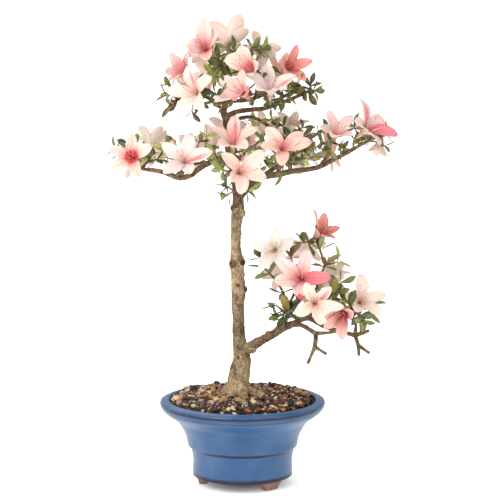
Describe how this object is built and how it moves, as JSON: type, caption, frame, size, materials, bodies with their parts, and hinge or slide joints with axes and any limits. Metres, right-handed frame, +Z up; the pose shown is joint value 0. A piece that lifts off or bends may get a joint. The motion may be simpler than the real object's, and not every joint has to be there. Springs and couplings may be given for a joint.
{
  "type": "azalea bonsai",
  "caption": "Azalea bonsai in bloom: a bare upright trunk, two tiers of boughs with pink and cream blooms, one low side bough, in a round glazed pot on three feet",
  "frame": {"origin": "on the surface the pot stands on, at the middle of the whole plant's footprint. The pot's own axis stands 15 mm towards -X and 12 mm towards -Y of it, because the crown reaches further to the right and the back", "axes": "+Z up, -Y towards the viewer's side, +X towards the low side bough"},
  "size_m": [0.3618, 0.2476, 0.5972],
  "materials": {
    "blue_glaze": "gloss",
    "bare_clay": "matte",
    "grit": "matte",
    "bark": "matte",
    "bare_twigs": "matte",
    "bloom_and_leaf": "matte"
  },
  "bodies": {
    "root": {"bough_arch": "bark", "bough_back": "bark", "bough_back_right": "bark", "bough_front": "bark", "bough_leader": "bark", "bough_left": "bark", "bough_left_back": "bark", "bough_left_inner": "bark", "bough_low": "bark", "bough_low_back": "bark", "bough_low_bare": "bark", "bough_low_inner": "bark", "bough_low_middle": "bark", "bough_low_outer": "bark", "bough_right": "bark", "bough_right_inner": "bark", "bough_right_upper": "bark", "bough_sprout": "bark", "bough_top_back": "bark", "bough_top_front": "bark", "bough_top_left": "bark", "bough_top_middle": "bark", "bough_top_right": "bark", "foliage_arch": "bloom_and_leaf", "foliage_back": "bloom_and_leaf", "foliage_back_right": "bloom_and_leaf", "foliage_crown": "bloom_and_leaf", "foliage_front": "bloom_and_leaf", "foliage_left_back": "bloom_and_leaf", "foliage_left_inner": "bloom_and_leaf", "foliage_left_tip": "bloom_and_leaf", "foliage_low_back": "bloom_and_leaf", "foliage_low_left": "bloom_and_leaf", "foliage_low_middle": "bloom_and_leaf", "foliage_low_right": "bloom_and_leaf", "foliage_right_inner": "bloom_and_leaf", "foliage_right_tip": "bloom_and_leaf", "foliage_right_upper": "bloom_and_leaf", "foliage_sprout": "bloom_and_leaf", "foliage_top_back": "bloom_and_leaf", "foliage_top_front": "bloom_and_leaf", "foliage_top_left": "bloom_and_leaf", "foliage_top_middle": "bloom_and_leaf", "foliage_top_right": "bloom_and_leaf", "pot_bowl": "blue_glaze", "pot_foot_1": "bare_clay", "pot_foot_2": "bare_clay", "pot_foot_3": "bare_clay", "soil": "grit", "trunk": "bark", "twigs_low_bare": "bare_twigs"}
  },
  "joints": []
}
